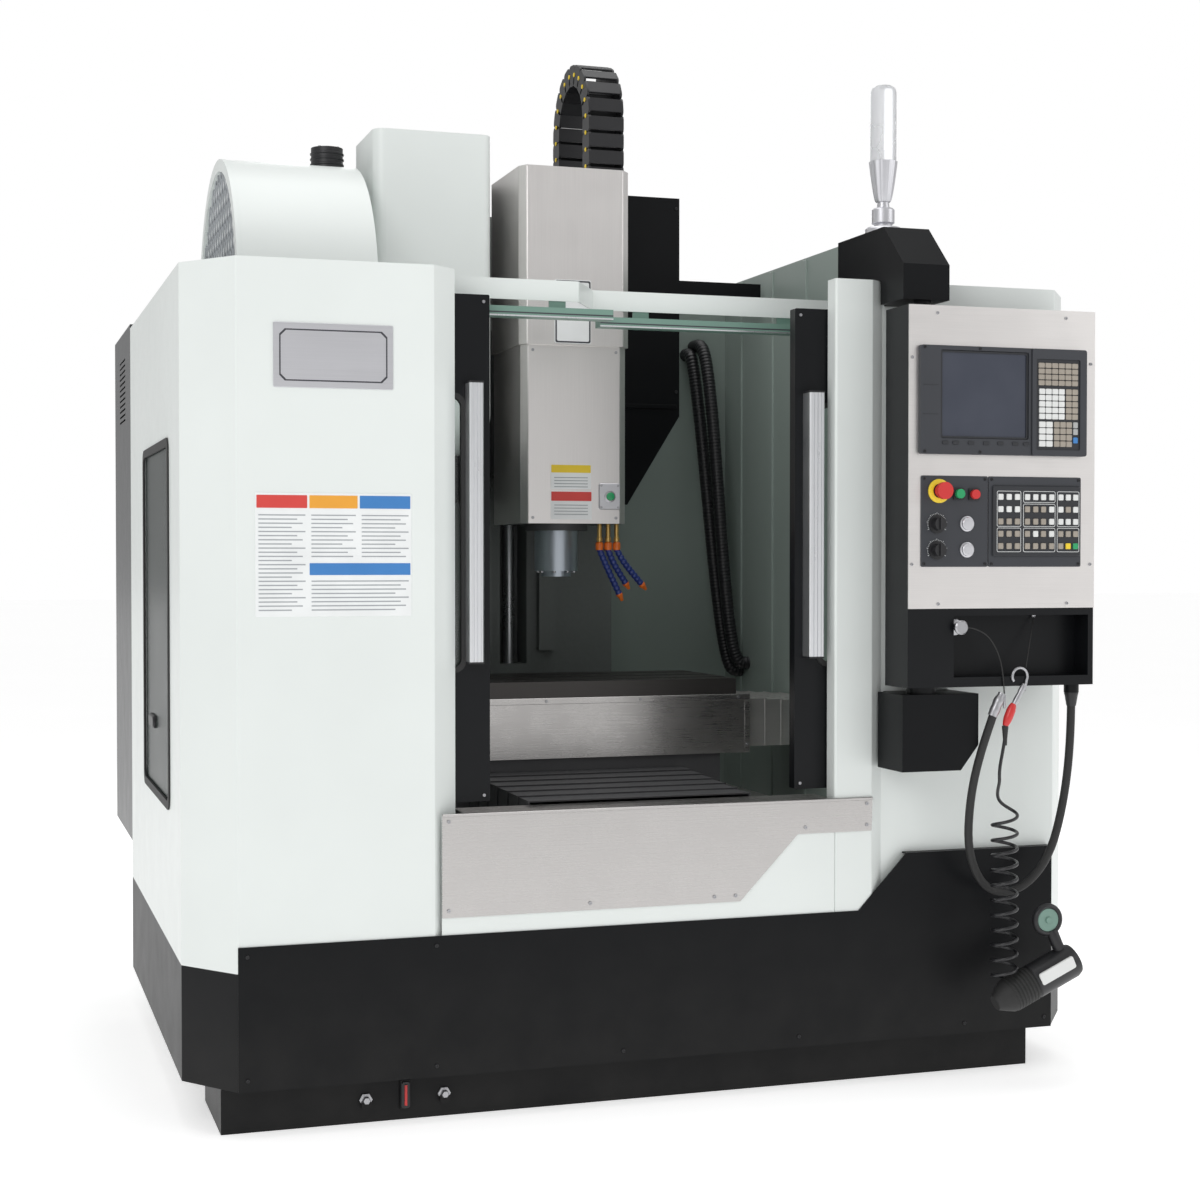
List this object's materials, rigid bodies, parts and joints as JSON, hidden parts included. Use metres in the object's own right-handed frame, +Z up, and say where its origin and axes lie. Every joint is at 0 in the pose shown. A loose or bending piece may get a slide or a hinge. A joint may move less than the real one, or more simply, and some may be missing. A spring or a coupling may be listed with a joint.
{
  "type": "cnc machining center",
  "caption": "Vertical machining center: enclosed cutting bay with sliding doors, column and spindle head, moving table, side tool magazine and swivelling operator panel",
  "frame": {"origin": "on the floor, midway across the enclosure and 1000 mm behind the face of the front skirt", "axes": "+X to the operator's right, +Y from front to back, +Z up; 1 unit is 1 metre"},
  "size_m": [2.212, 2.1953, 2.64],
  "materials": {
    "cast": "machined and painted grey casting",
    "steel": "brushed stainless sheet",
    "ground": "ground steel",
    "white": "off-white powder coat",
    "green_grey": "dark green-grey enamel",
    "black": "fine black powder coat",
    "dark_grey": "dark grey powder coat",
    "glass": "dark tinted pane",
    "clear": "clear lamp tube",
    "aluminium": "satin anodised extrusion",
    "brass": "brass pipe with blue plastic line",
    "orange": "orange nozzle plastic",
    "blue_grey": "dark blue-grey plastic",
    "black_plastic": "black plastic",
    "red": "red plastic",
    "green": "green plastic",
    "rubber": "black rubber hose"
  },
  "bodies": {
    "frame": {"base_casting": "cast", "levelling_feet": "ground", "coolant_tank": "black", "column": "cast", "column_guard": "black", "left_cabinet": "white", "right_cabinet": "white", "rear_panels": "green_grey", "inner_walls": "green_grey", "chip_pan": "green_grey", "front_skirt": "black", "side_skirts": "black", "front_apron": "steel", "front_panel": "white", "top_beam": "white", "door_rails": "steel", "side_window": "glass", "electrical_cabinet": "dark_grey", "panel_hood": "black", "panel_bracket": "black", "signal_lamp": "clear", "drum_cover": "white", "drum_mesh": "steel", "changer_cover": "white", "changer_motor": "black_plastic", "interior_hoses": "rubber", "y_way_cover": "steel", "cable_chain": "black_plastic"},
    "electrical_door": {"electrical_door": "dark_grey"},
    "y_screw": {"y_screw": "ground"},
    "z_screw": {"z_screw": "ground"},
    "x_screw": {"x_screw": "ground"},
    "saddle": {"saddle": "cast", "x_way_covers": "steel"},
    "table": {"table": "cast", "table_guard": "steel"},
    "head": {"head_casting": "cast", "head_cover": "steel", "spindle_motor": "black_plastic", "coolant_lines": "brass", "coolant_nozzles": "orange"},
    "spindle": {"spindle": "ground"},
    "left_door": {"left_door": "black", "left_handle": "aluminium"},
    "right_door": {"right_door": "black", "right_handle": "aluminium"},
    "tool_disc": {"tool_disc": "cast"},
    "panel": {"panel_box": "black", "panel_plate": "steel", "screen_unit": "blue_grey", "key_board": "blue_grey", "hose_hanger": "ground", "coil_lead": "rubber", "coil_hose": "rubber", "air_gun": "aluminium", "supply_hose": "rubber"},
    "estop_button": {"estop_button": "red"},
    "start_button": {"start_button": "green"},
    "stop_button": {"stop_button": "red"},
    "feed_knob": {"feed_knob": "black_plastic"},
    "spindle_knob": {"spindle_knob": "black_plastic"}
  },
  "joints": [
    {"name": "electrical_door_hinge", "type": "hinge", "parent": "frame", "child": "electrical_door", "pos_m": [-0.4, 0.9783, 1.1965], "axis": [0, 0, 1], "range_deg": [-90, 0]},
    {"name": "saddle_slide", "type": "slide", "parent": "frame", "child": "saddle", "axis": [0, 1, 0], "range_m": [-0.2, 0.2], "deforming": ["y_way_cover"]},
    {"name": "table_slide", "type": "slide", "parent": "saddle", "child": "table", "axis": [1, 0, 0], "range_m": [-0.362, 0.238], "deforming": ["x_way_covers"]},
    {"name": "head_slide", "type": "slide", "parent": "frame", "child": "head", "axis": [0, 0, 1], "range_m": [-0.175, 0.325], "deforming": ["cable_chain"]},
    {"name": "y_screw_turn", "type": "hinge", "parent": "frame", "child": "y_screw", "pos_m": [-0.04, -0.15, 0.53], "axis": [0, 1, 0], "range_deg": [-7301, 7301]},
    {"name": "x_screw_turn", "type": "hinge", "parent": "saddle", "child": "x_screw", "pos_m": [-0.04, -0.2, 0.73], "axis": [1, 0, 0], "range_deg": [-13132, 8668]},
    {"name": "z_screw_turn", "type": "hinge", "parent": "frame", "child": "z_screw", "pos_m": [-0.04, 0.28, 1.58], "axis": [0, 0, 1], "range_deg": [-6400, 11801]},
    {"name": "spindle_turn", "type": "hinge", "parent": "head", "child": "spindle", "pos_m": [-0.04, -0.2, 1.28], "axis": [0, 0, 1], "continuous": true},
    {"name": "left_door_slide", "type": "slide", "parent": "frame", "child": "left_door", "axis": [1, 0, 0], "range_m": [0, 0.38]},
    {"name": "right_door_slide", "type": "slide", "parent": "frame", "child": "right_door", "axis": [1, 0, 0], "range_m": [-0.37, 0]},
    {"name": "tool_disc_turn", "type": "hinge", "parent": "frame", "child": "tool_disc", "pos_m": [-0.78, -0.135, 1.89], "axis": [1, 0, 0], "continuous": true},
    {"name": "panel_swivel", "type": "hinge", "parent": "frame", "child": "panel", "pos_m": [0.597, -1.085, 1.4], "axis": [0, 0, 1], "range_deg": [-75, 0]},
    {"name": "estop_press", "type": "slide", "parent": "panel", "child": "estop_button", "axis": [0, 1, 0], "range_m": [0, 0.005]},
    {"name": "start_press", "type": "slide", "parent": "panel", "child": "start_button", "axis": [0, 1, 0], "range_m": [0, 0.004], "stiffness_N_per_m": 600},
    {"name": "stop_press", "type": "slide", "parent": "panel", "child": "stop_button", "axis": [0, 1, 0], "range_m": [0, 0.004], "stiffness_N_per_m": 600},
    {"name": "feed_knob_turn", "type": "hinge", "parent": "panel", "child": "feed_knob", "pos_m": [0.601, -1.16, 1.345], "axis": [0, 1, 0], "range_deg": [-150, 150]},
    {"name": "spindle_knob_turn", "type": "hinge", "parent": "panel", "child": "spindle_knob", "pos_m": [0.601, -1.16, 1.284], "axis": [0, 1, 0], "range_deg": [-150, 150]}
  ],
  "couplings": [
    {"joint": "y_screw_turn", "follows": "saddle_slide", "rad_per_m": 628.32},
    {"joint": "x_screw_turn", "follows": "table_slide", "rad_per_m": 628.32},
    {"joint": "z_screw_turn", "follows": "head_slide", "rad_per_m": 628.32}
  ]
}
